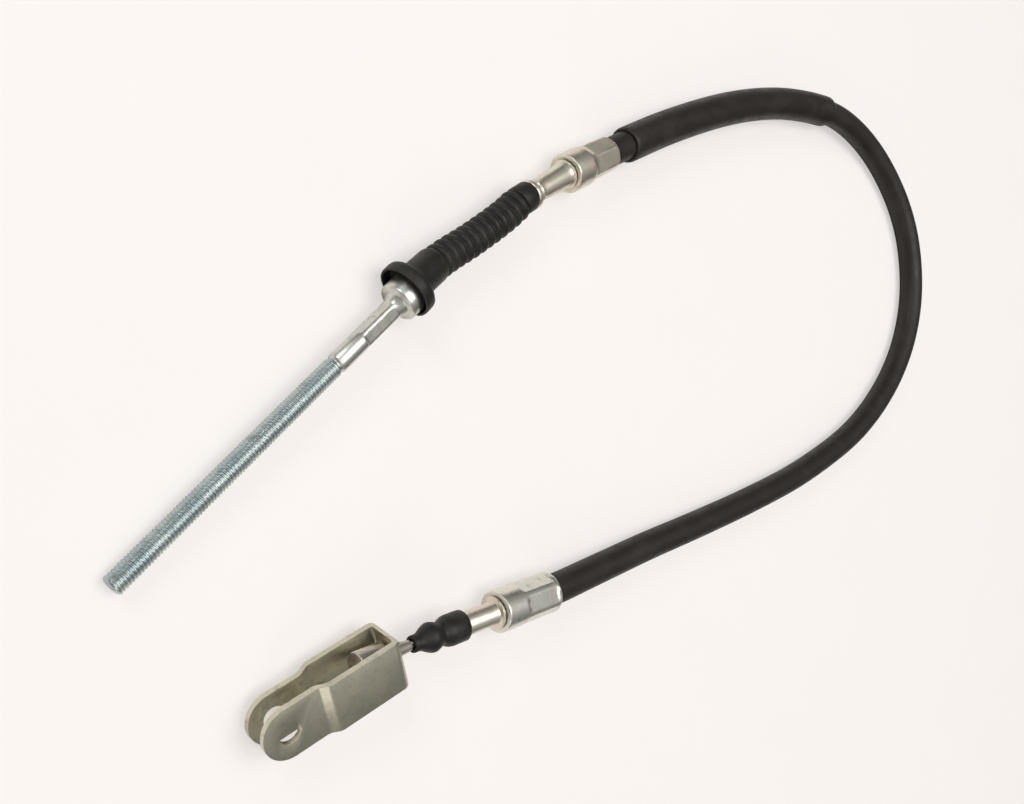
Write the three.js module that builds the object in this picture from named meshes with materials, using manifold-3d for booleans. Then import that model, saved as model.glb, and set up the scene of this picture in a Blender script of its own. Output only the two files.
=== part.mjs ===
// Brake cable of a quad bike, lying on its side on the ground.
// A threaded rod at the drum end and a folded fork at the pedal end are joined by a wire rope
// that runs through a black conduit. Millimetres, +Z up, the ground is the plane Z = 0.

import * as THREE from 'three';
import { mergeVertices } from 'three/addons/utils/BufferGeometryUtils.js';
import Module from 'manifold-3d';

const wasm = await Module();
wasm.setup();

// Fits: the gap left between pieces that touch, and how far a cutter runs past what it cuts.
const fit = 0.35;
const overrun = 1;
const roundSides = 24;
const bootSides = 18;
const bendSegments = 5;
const cordSides = 16;
const coreSides = 8;
const routeStep = 12;
const wireStep = 6;
const pathDivisions = 50;

// Conduit: jacket over armour winding over liner over wire rope.
const jacketRadius = 5;
const jacketWall = 0.85;
const armourWall = 1.3;
const linerWall = 0.5;
const wireRadius = 1.2;
const armourSeat = 13;
const sleeveRadius = 6.25;
const sleeveWall = 0.85;
const sleeveStart = 10;
const sleeveLength = 131;

// The conduit's centreline on the ground, from the drum ferrule's mouth to the pedal ferrule's.
const drumMouth = [-20.6, 64.8, 6.9];
const pedalMouth = [-54.95, -78.55, 7.18];
const routePoints = [
  drumMouth,
  [-8.8, 70.1, 6.6],
  [12.3, 78.9, 6.4],
  [43.6, 89.9, 6.3],
  [80.4, 98.6, 6.3],
  [112, 100.8, 6.3],
  [126, 99.6, 6.2],
  [142, 95.1, 5.6],
  [156.6, 87.6, 5.1],
  [168.4, 77.6, 5],
  [177.4, 66.5, 5],
  [183.3, 54.4, 5],
  [186, 41.4, 5],
  [185.8, 28.1, 5],
  [182.4, 14.8, 5],
  [175.7, 1.6, 5],
  [166.2, -10.4, 5],
  [153.8, -21.6, 5],
  [139.2, -31.5, 5],
  [122.6, -39.7, 5],
  [88, -51.5, 5],
  [54.3, -59.3, 5],
  [22.4, -65.3, 5],
  [-6, -70.1, 5.1],
  [-31.5, -74.7, 5.8],
  pedalMouth,
];

// Drum end: ferrule, leaning guide tube, bellows and threaded rod.
const drumFace = [-40.8, 55.6, 7.2];
const drumRing = [-57.9, 46.5, 7.6];
const collarFace = [-109.4, 10.7, 7.8];
const rodTip = [-189.8, -58.2, 3];

// The bellows sags a little between the guide tube and the rod's collar.
const bellowsBends = [
  [-65.6, 41.3, 7.6],
  [-70.2, 38, 7.5],
  [-76.6, 33.9, 7.4],
  [-83.4, 29.8, 7.4],
  [-90, 26.2, 7.6],
  [-96.2, 22.5, 8.1],
];

// Pedal end: ferrule and guide tube in line with the wire's end, and the fork's web.
const forkWeb = [-116.8, -85.6, 10.57];

const ferruleRadius = 6.6;
const ferruleMouthRound = 1;
const drumFerruleRound = 0.7;
const pedalFerruleLength = 23.1;
const drumCrimpLength = 13.5;
const pedalCrimpLength = 14.6;
const drumCrimpFlats = 11;
const pedalCrimpFlats = 12.2;
const crimpSides = 6;
const drumCrimpTurn = 0.18;
const pedalCrimpTurn = 0.17;

const tubeRootRadius = 4.3;
const tubeRootLength = 6;
const seatRimRadius = 5;
const seatRimHeight = 0.7;
const seatRecess = 0.7;
const tubeRadius = 3.6;
const drumTubeFlare = 4.5;
const drumRingRadius = 4.9;
const drumRingWidth = 1.7;
const drumBeadRadius = 3.95;
const drumBeadWidth = 1.2;
const drumGroove = 0.9;
const nippleRadius = 3.1;
const nippleLength = 4;
const pedalTubeLength = 17;

const bootEndLength = 5.7;
const bootEndRadius = 4.9;
const ribCount = 12;
const ribPitch = 3.23;
const ribCrestRadius = 5.3;
const ribValleyRadius = 4.2;
const ribSlopeShare = 0.22;
const ribCrestShare = 0.4;
const bootWall = 0.9;
const cupRadius = 8.6;
const cupWall = 0.8;
const cupFloor = 1.6;
const cupShift = [-0.75, 0.85, 0.75];
const straightNeck = 8;
const bootNeckRadius = 5.5;

const rodRadius = 2.95;
const rodChamfer = 0.6;
const shankLength = 25.9;
const shankRadius = 3.05;
const undercutLength = 1.6;
const undercutRadius = 2.5;
const collarRadius = 6.1;
const collarThickness = 6;
const collarShows = 3.4;
const collarRound = 0.6;
const collarConeLength = 2.2;
const collarConeRadius = 4.2;
const rodCrimpStart = 2.6;
const rodCrimpLength = 13;
const rodCrimpFlats = 5.2;
const rodCrimpSides = 4;
const rodCrimpTurn = 0.49;
const socketLength = 4;
const socketRadius = 2.8;
const socketDepth = 22;

const dustBootGrip = 3.3;
const dustBootLength = 19;

// The dust boot's outside as radius and distance from its wide end: end, waist, bulb and lip.
const dustBootOutline = [
  [4.65, 0],
  [4.65, 5.6],
  [4.2, 7.4],
  [3.5, 8.8],
  [3.9, 10.2],
  [4.35, 12.4],
  [3.5, 14.8],
  [2.5, 16.6],
  [2.5, dustBootLength],
];

const wireJoint = 2;

const headRadius = 3.9;
const headLength = 9;
const headShoulder = 1.1;
const headSeat = 0.7;
const shankNeckRadius = 2.05;
const shankNeckLength = 2.4;
const coneLength = 4.4;
const coneEndRadius = 1.6;

const strapWidth = 15.2;
const strapThickness = 1.8;
const forkOuter = 13.8;
const forkEyeOuter = 10;
const forkWideLength = 22.4;
const forkJoggleLength = 3.3;
const forkPinDistance = 35.4;
const forkPinHole = 6.4;
const forkBendRadius = 2.6;
const forkEdgeRound = 1.6;
const forkYaw = 201.2;
const forkPitch = -5;
const forkRoll = 74.9;

const colours = {
  rubber: { color: 0x2a2723, roughness: 0.6, metalness: 0 },
  jacket: { color: 0x2b2622, roughness: 0.45, metalness: 0 },
  zincBlue: { color: 0x8e9c9c, roughness: 0.35, metalness: 0.9 },
  zincYellow: { color: 0xbdb795, roughness: 0.35, metalness: 0.9 },
  zincBright: { color: 0xc4c6c0, roughness: 0.3, metalness: 0.9 },
  forkSteel: { color: 0xaaa591, roughness: 0.5, metalness: 0.7 },
  steel: { color: 0x8c8c88, roughness: 0.4, metalness: 0.9 },
  nylon: { color: 0xe3ddca, roughness: 0.5, metalness: 0 },
};

function vector(point) {
  return new THREE.Vector3(...point);
}

function piece(name, geometry, finish) {
  const mesh = new THREE.Mesh(geometry, new THREE.MeshStandardMaterial(colours[finish]));
  mesh.name = name;
  return mesh;
}

// A group whose own Z axis starts at a place and points along a direction.
function axisGroup(start, direction) {
  const group = new THREE.Group();
  group.position.copy(start);
  group.quaternion.setFromUnitVectors(new THREE.Vector3(0, 0, 1), direction.clone().normalize());
  return group;
}

function bareGeometry(geometry) {
  const bare = new THREE.BufferGeometry();
  bare.setAttribute('position', geometry.getAttribute('position').clone());
  bare.setIndex(geometry.getIndex());
  return mergeVertices(bare, 1e-4);
}

function toSolid(geometry) {
  const bare = bareGeometry(geometry);
  const vertProperties = new Float32Array(bare.getAttribute('position').array);
  const triVerts = new Uint32Array(bare.getIndex().array);
  return new wasm.Manifold(new wasm.Mesh({ numProp: 3, vertProperties, triVerts }));
}

function toGeometry(solid) {
  const mesh = solid.getMesh();
  const geometry = new THREE.BufferGeometry();
  geometry.setAttribute('position', new THREE.BufferAttribute(mesh.vertProperties, 3));
  geometry.setIndex(new THREE.BufferAttribute(mesh.triVerts, 1));
  return geometry;
}

// A turned piece: pairs of radius and height, walked so that the material lies to the left.
function turned(pairs, sides = roundSides) {
  const points = pairs.map(([radius, height]) => new THREE.Vector2(radius, height));
  const geometry = new THREE.LatheGeometry(points, sides);
  geometry.rotateX(Math.PI / 2);
  return geometry;
}

// A hollow turned piece: its outside from low to high, then its bore from high to low.
function turnedRing(outside, bore, sides = roundSides) {
  return turned([...outside, ...bore, outside[0]], sides);
}

// Points of a quarter round between two directions, given as an arc in the radius and height plane.
function arc(radius, height, size, from, to, steps = 3) {
  const points = [];
  for (let i = 0; i <= steps; i += 1) {
    const angle = THREE.MathUtils.degToRad(from + ((to - from) * i) / steps);
    points.push([radius + size * Math.cos(angle), height + size * Math.sin(angle)]);
  }
  return points;
}

// A stretch of a longer path, read at chosen distances so that pieces inside each other bend alike.
class Run extends THREE.Curve {
  constructor(path, stations) {
    super();
    this.path = path;
    this.stations = stations;
  }

  shareAt(u) {
    const place = u * (this.stations.length - 1);
    const low = Math.min(Math.floor(place), this.stations.length - 2);
    const distance = THREE.MathUtils.lerp(this.stations[low], this.stations[low + 1], place - low);
    return distance / this.path.getLength();
  }

  getPointAt(u, target) {
    return this.path.getPointAt(this.shareAt(u), target);
  }

  getTangentAt(u, target) {
    return this.path.getTangentAt(this.shareAt(u), target);
  }
}

function cordPath(points) {
  const path = new THREE.CatmullRomCurve3(points, false, 'centripetal');
  path.arcLengthDivisions = pathDivisions * (points.length - 1);
  return path;
}

// The distance along a path at which it passes one of its points.
function distanceTo(path, index) {
  return path.getLengths()[index * pathDivisions];
}

// A round cord or tube along a run, with a bore where an inner radius is given.
function cord(run, outer, inner, sides) {
  const shape = new THREE.Shape(circle(outer, sides));
  if (inner > 0) shape.holes.push(new THREE.Path(circle(inner, sides)));
  const steps = run.stations.length - 1;
  return new THREE.ExtrudeGeometry(shape, { steps, extrudePath: run, bevelEnabled: false });
}

function circle(radius, sides) {
  const points = [];
  for (let i = 0; i < sides; i += 1) {
    const angle = (2 * Math.PI * i) / sides;
    points.push(new THREE.Vector2(radius * Math.cos(angle), radius * Math.sin(angle)));
  }
  return points;
}

// Cuts flats into a turned piece, as a crimping die leaves them.
function crimped(geometry, sides, acrossFlats, from, to, turn, reach) {
  let solid = toSolid(geometry);
  for (let i = 0; i < sides; i += 1) {
    const box = new THREE.BoxGeometry(reach, 2 * reach, to - from);
    box.translate(acrossFlats / 2 + reach / 2, 0, (from + to) / 2);
    box.rotateZ(turn + (2 * Math.PI * i) / sides);
    solid = solid.subtract(toSolid(box));
  }
  return toGeometry(solid);
}

const armourRadius = jacketRadius - jacketWall - fit;
const linerRadius = armourRadius - armourWall - fit;
const ferruleBore = armourRadius + fit;
const drumAxis = vector(drumFace).sub(vector(drumMouth));
const drumFerruleLength = drumAxis.length();
const tubeAxis = vector(drumRing).sub(vector(drumFace));
const drumTubeLength = tubeAxis.length();
const rodAxis = vector(rodTip).sub(vector(collarFace));
const rodLength = rodAxis.length();
const wireAxis = vector(forkWeb).sub(vector(pedalMouth));
const pedalReach = wireAxis.length();

function along(start, axis, distance) {
  return vector(start).addScaledVector(axis.clone().normalize(), distance);
}

// The boot's centreline: straight on the guide tube's nipple, then over its bends to the collar.
function bellowsPath() {
  const lip = along(collarFace, rodAxis, -collarShows).add(vector(cupShift));
  return cordPath([
    vector(drumRing),
    along(drumRing, tubeAxis, nippleLength + fit),
    ...bellowsBends.map(vector),
    lip.clone().addScaledVector(rodAxis.clone().normalize(), -straightNeck),
    lip,
  ]);
}

// Bends a piece that was turned about Z so that it follows a path.
function bent(geometry, path) {
  const position = geometry.getAttribute('position');
  const up = new THREE.Vector3(0, 0, 1);
  const turn = new THREE.Quaternion();
  for (let i = 0; i < position.count; i += 1) {
    const share = Math.min(position.getZ(i) / path.getLength(), 1);
    turn.setFromUnitVectors(up, path.getTangentAt(share));
    const across = new THREE.Vector3(position.getX(i), position.getY(i), 0).applyQuaternion(turn);
    position.setXYZ(i, ...path.getPointAt(share).add(across));
  }
  return geometry;
}

// The whole route of the wire rope: through both guide tubes, both ferrules and the conduit.
const corePath = cordPath([
  along(drumRing, tubeAxis, nippleLength),
  vector(drumFace),
  ...routePoints.map(vector),
  along(pedalMouth, wireAxis, pedalFerruleLength),
  along(pedalMouth, wireAxis, pedalFerruleLength + pedalTubeLength),
]);
const drumStart = distanceTo(corePath, 2);
const pedalStart = distanceTo(corePath, 1 + routePoints.length);

// Where the conduit's pieces begin and end, as distances along the route.
const reaches = {
  conduit_jacket: [drumStart + fit, pedalStart - fit],
  armour_winding: [drumStart - armourSeat, pedalStart + armourSeat],
  conduit_liner: [0, corePath.getLength()],
  wire_rope: [0, pedalStart + wireJoint - fit],
  protective_sleeve: [drumStart + sleeveStart, drumStart + sleeveStart + sleeveLength],
};

// Every distance at which the pieces are cut: their own ends, the bends at the ferrules' faces,
// and even steps between the mouths.
function routeStations() {
  const faces = [distanceTo(corePath, 1), distanceTo(corePath, 2 + routePoints.length)];
  const steps = Math.round((pedalStart - drumStart) / routeStep);
  const even = Array.from({ length: steps + 1 }, (_, i) => (
    drumStart + ((pedalStart - drumStart) * i) / steps
  ));
  return [...even, ...faces, ...Object.values(reaches).flat()].sort((a, b) => a - b);
}

function runOf(name) {
  const [from, to] = reaches[name];
  const inside = routeStations().filter((place) => place > from + fit && place < to - fit);
  const apart = inside.filter((place, i) => i === 0 || place - inside[i - 1] > fit);
  return new Run(corePath, [from, ...apart, to]);
}

function conduitPiece(name, outer, wall, sides, finish) {
  return piece(name, cord(runOf(name), outer, outer - wall, sides), finish);
}

function conduit() {
  const group = new THREE.Group();
  group.add(
    conduitPiece('conduit_jacket', jacketRadius, jacketWall, cordSides, 'jacket'),
    conduitPiece('armour_winding', armourRadius, armourWall, coreSides, 'steel'),
    conduitPiece('conduit_liner', linerRadius, linerWall, coreSides, 'nylon'),
    conduitPiece('wire_rope', wireRadius, wireRadius, coreSides, 'steel'),
    conduitPiece('protective_sleeve', sleeveRadius, sleeveWall, cordSides, 'rubber'),
  );
  return group;
}

// A ferrule's outline from its mouth, where the conduit enters, to its face, where the tube leaves.
function ferrule(length, faceRound) {
  const seatStart = length - tubeRootLength - fit;
  return turnedRing(
    [
      [ferruleBore, 0],
      ...arc(ferruleRadius - ferruleMouthRound, ferruleMouthRound, ferruleMouthRound, -90, 0),
      ...arc(ferruleRadius - faceRound, length - faceRound, faceRound, 0, 90),
      [seatRimRadius + fit, length],
    ],
    [
      [seatRimRadius + fit, length - seatRecess],
      [tubeRootRadius + fit, length - seatRecess],
      [tubeRootRadius + fit, seatStart],
      [linerRadius + fit, seatStart],
      [linerRadius + fit, armourSeat + fit],
      [ferruleBore, armourSeat + fit],
    ],
  );
}

function drumFerrule() {
  const body = ferrule(drumFerruleLength, drumFerruleRound);
  const reach = 2 * ferruleRadius;
  return crimped(body, crimpSides, drumCrimpFlats, -overrun, drumCrimpLength, drumCrimpTurn, reach);
}

function pedalFerrule() {
  const body = ferrule(pedalFerruleLength, fit);
  const reach = 2 * ferruleRadius;
  const from = ferruleMouthRound;
  return crimped(body, crimpSides, pedalCrimpFlats, from, pedalCrimpLength, pedalCrimpTurn, reach);
}

// The guide tube's foot stands in the ferrule, its rolled rim in a recess of the ferrule's face.
function tubeFoot() {
  return [
    [linerRadius + fit, -tubeRootLength],
    [tubeRootRadius, -tubeRootLength],
    [tubeRootRadius, 0],
    [seatRimRadius, 0],
    [seatRimRadius, seatRimHeight],
  ];
}

function drumGuideTube() {
  const ringStart = drumTubeLength - drumRingWidth;
  const beadEnd = ringStart - drumGroove;
  const beadStart = beadEnd - drumBeadWidth;
  return turnedRing(
    [
      ...tubeFoot(),
      [drumTubeFlare, seatRimHeight],
      [tubeRadius, beadStart - drumGroove],
      [tubeRadius, beadStart],
      [drumBeadRadius, beadStart],
      [drumBeadRadius, beadEnd],
      [tubeRadius, beadEnd],
      [tubeRadius, ringStart],
      [drumRingRadius, ringStart],
      [drumRingRadius, drumTubeLength],
      [nippleRadius, drumTubeLength],
      [nippleRadius, drumTubeLength + nippleLength],
    ],
    [[linerRadius + fit, drumTubeLength + nippleLength]],
  );
}

function pedalGuideTube() {
  return turnedRing(
    [
      ...tubeFoot(),
      [tubeRadius, seatRimHeight],
      [tubeRadius, pedalTubeLength],
    ],
    [[linerRadius + fit, pedalTubeLength]],
  );
}

// One rib of the bellows, from the valley before it to its crest.
function ribOutline(start) {
  const middle = (ribCrestRadius + ribValleyRadius) / 2;
  return [
    [ribValleyRadius, start],
    [middle, start + ribPitch * ribSlopeShare],
    [ribCrestRadius, start + ribPitch * ribCrestShare],
    [ribCrestRadius, start + ribPitch * (1 - ribCrestShare)],
    [middle, start + ribPitch * (1 - ribSlopeShare)],
  ];
}

function bellows() {
  const path = bellowsPath();
  const bootLength = path.getLength();
  const ribsEnd = bootEndLength + ribCount * ribPitch;
  const seat = bootLength - (collarThickness + fit - collarShows);
  const cupStart = seat - cupFloor;
  const outside = [
    [nippleRadius + fit, fit],
    [bootEndRadius, fit],
    [bootEndRadius, bootEndLength],
  ];
  const bore = [];
  for (let i = 0; i < ribCount; i += 1) {
    const start = bootEndLength + i * ribPitch;
    outside.push(...ribOutline(start));
    bore.unshift([ribValleyRadius - bootWall, start], [ribCrestRadius - bootWall, start + ribPitch / 2]);
  }
  outside.push(
    [ribValleyRadius, ribsEnd],
    [bootNeckRadius, ribsEnd + fit],
    [bootNeckRadius, cupStart],
    ...arc(cupRadius - cupWall, cupStart + cupWall, cupWall, -90, 0, 2),
    [cupRadius, bootLength],
  );
  const mouth = [
    [cupRadius - cupWall, bootLength],
    [cupRadius - cupWall, seat],
    [bootNeckRadius - bootWall, seat],
    [bootNeckRadius - bootWall, ribsEnd],
  ];
  const bores = [...mouth, ...bore, [nippleRadius + fit, bootEndLength - fit]];
  return bent(turnedRing(outside, bores, bootSides), path);
}

function threadedRod() {
  const threadStart = shankLength + undercutLength;
  const socketBore = wireRadius + fit;
  const body = turned([
    [0, rodLength],
    [rodRadius - rodChamfer, rodLength],
    [rodRadius, rodLength - rodChamfer],
    [rodRadius, threadStart],
    [undercutRadius, threadStart],
    [undercutRadius, shankLength],
    [shankRadius, shankLength],
    [shankRadius, collarConeLength],
    [collarConeRadius, 0],
    ...arc(collarRadius - collarRound, -collarRound, collarRound, 90, 0),
    [collarRadius, -collarThickness],
    [socketRadius, -collarThickness],
    [socketRadius, -collarThickness - socketLength],
    [socketBore, -collarThickness - socketLength],
    [socketBore, socketDepth - collarThickness - socketLength],
    [0, socketDepth - collarThickness - socketLength],
  ].reverse());
  const end = rodCrimpStart + rodCrimpLength;
  const reach = 2 * shankRadius;
  return crimped(body, rodCrimpSides, rodCrimpFlats, rodCrimpStart, end, rodCrimpTurn, reach);
}

// The bare wire between the rod's socket and the guide tube's mouth.
function bootWire() {
  const socketMouth = -collarThickness - socketLength;
  const wireStart = socketMouth + socketDepth - fit;
  const path = cordPath([
    along(collarFace, rodAxis, wireStart),
    along(collarFace, rodAxis, socketMouth),
    along(collarFace, rodAxis, socketMouth - 2 * wireRadius),
    ...bellowsBends.map(vector).reverse().slice(1),
    along(drumRing, tubeAxis, nippleLength + fit),
  ]);
  const steps = Math.round(path.getLength() / wireStep);
  const stations = Array.from({ length: steps + 1 }, (_, i) => (path.getLength() * i) / steps);
  return cord(new Run(path, stations), wireRadius, 0, coreSides);
}

function dustBoot() {
  const grip = tubeRadius + fit;
  const wiper = wireRadius + fit;
  return turnedRing(
    [[grip, 0], ...dustBootOutline],
    [
      [wiper, dustBootLength],
      [wiper, dustBootGrip + 2 * fit],
      [grip, dustBootGrip + fit],
    ],
    bootSides,
  );
}

// The swaged head that holds the fork; its own zero is at the middle of the fork's web.
function wireHead() {
  const seat = strapThickness / 2 + headSeat;
  return turned([
    [0, -shankNeckLength - coneLength],
    [coneEndRadius, -shankNeckLength - coneLength],
    [shankNeckRadius, -shankNeckLength],
    [shankNeckRadius, seat],
    [headRadius, seat + headShoulder],
    [headRadius, seat + headShoulder + headLength],
    [0, seat + headShoulder + headLength],
  ]);
}

// The stretch of wire that slides in the pedal end's guide tube with the fork.
function pedalWire() {
  const length = pedalReach + strapThickness / 2 - shankNeckLength - coneLength - fit;
  return turned([[0, wireJoint], [wireRadius, wireJoint], [wireRadius, length], [0, length]], coreSides);
}

// The fork's strap seen edge on, with round bends at its web and a joggle in each cheek.
function strapOutline(inset) {
  const wide = forkOuter / 2 - inset;
  const narrow = forkEyeOuter / 2 - inset;
  const bend = forkBendRadius - inset;
  const joggleEnd = forkWideLength + forkJoggleLength;
  const tip = forkPinDistance + strapWidth / 2 + overrun;
  const shape = new THREE.Shape();
  shape.moveTo(tip, narrow);
  shape.lineTo(joggleEnd, narrow);
  shape.lineTo(forkWideLength, wide);
  shape.lineTo(inset + bend, wide);
  shape.absarc(inset + bend, wide - bend, bend, Math.PI / 2, Math.PI, false);
  shape.absarc(inset + bend, bend - wide, bend, Math.PI, 1.5 * Math.PI, false);
  shape.lineTo(forkWideLength, -wide);
  shape.lineTo(joggleEnd, -narrow);
  shape.lineTo(tip, -narrow);
  shape.closePath();
  return shape;
}

function slab(shape, depth) {
  const settings = { depth, bevelEnabled: false, curveSegments: bendSegments };
  const geometry = new THREE.ExtrudeGeometry(shape, settings);
  geometry.translate(0, 0, -depth / 2);
  return geometry;
}

// The strap seen from its side: square at the web, half round at the eyes.
function cheekOutline() {
  const half = strapWidth / 2;
  const shape = new THREE.Shape();
  shape.moveTo(forkEdgeRound, half);
  shape.absarc(forkEdgeRound, half - forkEdgeRound, forkEdgeRound, Math.PI / 2, Math.PI, false);
  shape.absarc(forkEdgeRound, forkEdgeRound - half, forkEdgeRound, Math.PI, 1.5 * Math.PI, false);
  shape.absarc(forkPinDistance, 0, half, -Math.PI / 2, Math.PI / 2, false);
  shape.closePath();
  return shape;
}

function drill(radius, length) {
  return new THREE.CylinderGeometry(radius, radius, length, roundSides);
}

function fork() {
  const outer = toSolid(slab(strapOutline(0), strapWidth + overrun));
  const inner = toSolid(slab(strapOutline(strapThickness), strapWidth + 2 * overrun));
  const side = slab(cheekOutline(), forkOuter + overrun);
  side.rotateX(Math.PI / 2);
  const pinDrill = drill(forkPinHole / 2, forkOuter + overrun);
  pinDrill.translate(forkPinDistance, 0, 0);
  const webDrill = drill(shankNeckRadius + 2 * fit, 2 * strapThickness + overrun);
  webDrill.rotateZ(Math.PI / 2);
  return toGeometry(
    outer.subtract(inner).intersect(toSolid(side)).subtract(toSolid(pinDrill)).subtract(toSolid(webDrill)),
  );
}

function drumEnd() {
  const ferruleGroup = axisGroup(vector(drumMouth), drumAxis);
  ferruleGroup.add(piece('drum_ferrule', drumFerrule(), 'zincYellow'));
  const tubeGroup = axisGroup(vector(drumFace), tubeAxis);
  tubeGroup.add(piece('drum_guide_tube', drumGuideTube(), 'zincYellow'));
  const rodGroup = axisGroup(vector(collarFace), rodAxis);
  rodGroup.add(piece('threaded_rod', threadedRod(), 'zincBlue'));
  const group = new THREE.Group();
  group.add(ferruleGroup, tubeGroup, rodGroup);
  group.add(piece('bellows_boot', bellows(), 'rubber'), piece('rod_wire', bootWire(), 'steel'));
  return group;
}

function pedalEnd() {
  const group = axisGroup(vector(pedalMouth), wireAxis);
  const ferrulePiece = piece('pedal_ferrule', pedalFerrule(), 'zincBright');
  const tubePiece = piece('pedal_guide_tube', pedalGuideTube(), 'zincYellow');
  tubePiece.position.z = pedalFerruleLength;
  const bootPiece = piece('dust_boot', dustBoot(), 'rubber');
  bootPiece.position.z = pedalFerruleLength + pedalTubeLength - dustBootGrip;
  const headPiece = piece('wire_head', wireHead(), 'zincBright');
  headPiece.position.z = pedalReach + strapThickness / 2;
  group.add(ferrulePiece, tubePiece, bootPiece, headPiece, piece('pedal_wire', pedalWire(), 'steel'));
  return group;
}

function forkEnd() {
  const group = new THREE.Group();
  const turn = [forkRoll, -forkPitch, forkYaw].map(THREE.MathUtils.degToRad);
  group.rotation.set(...turn, 'ZYX');
  group.position.copy(vector(forkWeb));
  group.add(piece('fork', fork(), 'forkSteel'));
  return group;
}

const brakeCable = new THREE.Group();
brakeCable.add(conduit(), drumEnd(), pedalEnd(), forkEnd());

export default brakeCable;
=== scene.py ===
# %% [markdown]
# # A quad bike's brake cable on a pale table
#
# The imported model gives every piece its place. This script dresses it: round pieces are turned
# from outlines, what repeats (thread, ribs, strands) is made by Geometry Nodes, and every
# surface gets a procedural material. Lengths are in metres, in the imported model's own frame.

import math

import bmesh
import bpy
from mathutils import Matrix, Vector


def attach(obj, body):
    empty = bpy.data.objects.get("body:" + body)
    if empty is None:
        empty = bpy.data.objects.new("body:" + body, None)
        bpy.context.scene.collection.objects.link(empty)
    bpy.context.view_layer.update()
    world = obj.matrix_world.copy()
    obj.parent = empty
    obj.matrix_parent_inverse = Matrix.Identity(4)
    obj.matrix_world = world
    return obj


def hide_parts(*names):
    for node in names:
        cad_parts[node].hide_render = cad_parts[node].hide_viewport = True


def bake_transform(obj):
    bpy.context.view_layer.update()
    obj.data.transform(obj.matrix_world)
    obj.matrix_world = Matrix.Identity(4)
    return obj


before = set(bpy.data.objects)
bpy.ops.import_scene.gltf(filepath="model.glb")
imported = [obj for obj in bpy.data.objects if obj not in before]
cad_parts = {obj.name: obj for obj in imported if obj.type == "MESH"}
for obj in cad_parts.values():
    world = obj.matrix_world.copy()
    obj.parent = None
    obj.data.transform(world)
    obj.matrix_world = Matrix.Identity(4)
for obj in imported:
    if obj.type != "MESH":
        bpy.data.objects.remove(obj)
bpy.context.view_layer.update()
MM = 0.001
print("packed nodes:", len(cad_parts))

# %% [markdown]
# ## Camera
#
# The camera stands where the photograph's perspective puts it: about 49 degrees above the table,
# turned so that the conduit's bend lies to the right. Its three directions are unit vectors.

# %% Camera
camera_data = bpy.data.cameras.new("camera")
camera_data.sensor_width = 36.0
camera_data.lens = 36.1
camera_data.clip_start = 0.01
camera_data.clip_end = 20.0
camera = bpy.data.objects.new("camera", camera_data)
bpy.context.scene.collection.objects.link(camera)
camera_right = Vector((0.75539, -0.0349, 0.65434))
camera_up = Vector((0.02638, 0.99939, 0.02285))
camera_back = Vector((-0.65475, 0.0, 0.75585))
camera_turn = Matrix((camera_right, camera_up, camera_back)).transposed().to_4x4()
camera.matrix_world = Matrix.Translation((-0.275, -0.0181, 0.2469)) @ camera_turn
bpy.context.scene.camera = camera

# %% [markdown]
# ## The conduit's route
#
# The same points as in the part's source, in metres. A smooth line through them,
# with the guide tubes' ends added, is the centreline of the conduit and of its sleeve.

# %% Route points
DRUM_MOUTH = Vector((-0.0206, 0.0648, 0.0069))
PEDAL_MOUTH = Vector((-0.05495, -0.07855, 0.00718))
ROUTE = [
    (-0.0088, 0.0701, 0.0066),
    (0.0123, 0.0789, 0.0064),
    (0.0436, 0.0899, 0.0063),
    (0.0804, 0.0986, 0.0063),
    (0.112, 0.1008, 0.0063),
    (0.126, 0.0996, 0.0062),
    (0.142, 0.0951, 0.0056),
    (0.1566, 0.0876, 0.0051),
    (0.1684, 0.0776, 0.005),
    (0.1774, 0.0665, 0.005),
    (0.1833, 0.0544, 0.005),
    (0.186, 0.0414, 0.005),
    (0.1858, 0.0281, 0.005),
    (0.1824, 0.0148, 0.005),
    (0.1757, 0.0016, 0.005),
    (0.1662, -0.0104, 0.005),
    (0.1538, -0.0216, 0.005),
    (0.1392, -0.0315, 0.005),
    (0.1226, -0.0397, 0.005),
    (0.088, -0.0515, 0.005),
    (0.0543, -0.0593, 0.005),
    (0.0224, -0.0653, 0.005),
    (-0.006, -0.0701, 0.0051),
    (-0.0315, -0.0747, 0.0058),
]
DRUM_FACE = Vector((-0.0408, 0.0556, 0.0072))
DRUM_RING = Vector((-0.0579, 0.0465, 0.0076))
BELLOWS_BENDS = [
    (-0.0656, 0.0413, 0.0076),
    (-0.0702, 0.038, 0.0075),
    (-0.0766, 0.0339, 0.0074),
    (-0.0834, 0.0298, 0.0074),
    (-0.09, 0.0262, 0.0076),
    (-0.0962, 0.0225, 0.0081),
]
COLLAR_FACE = Vector((-0.1094, 0.0107, 0.0078))
ROD_TIP = Vector((-0.1898, -0.0582, 0.003))
FORK_WEB = Vector((-0.1168, -0.0856, 0.01057))
DRUM_AXIS = (DRUM_FACE - DRUM_MOUTH).normalized()
TUBE_AXIS = (DRUM_RING - DRUM_FACE).normalized()
ROD_AXIS = (ROD_TIP - COLLAR_FACE).normalized()
WIRE_AXIS = (FORK_WEB - PEDAL_MOUTH).normalized()

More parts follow.
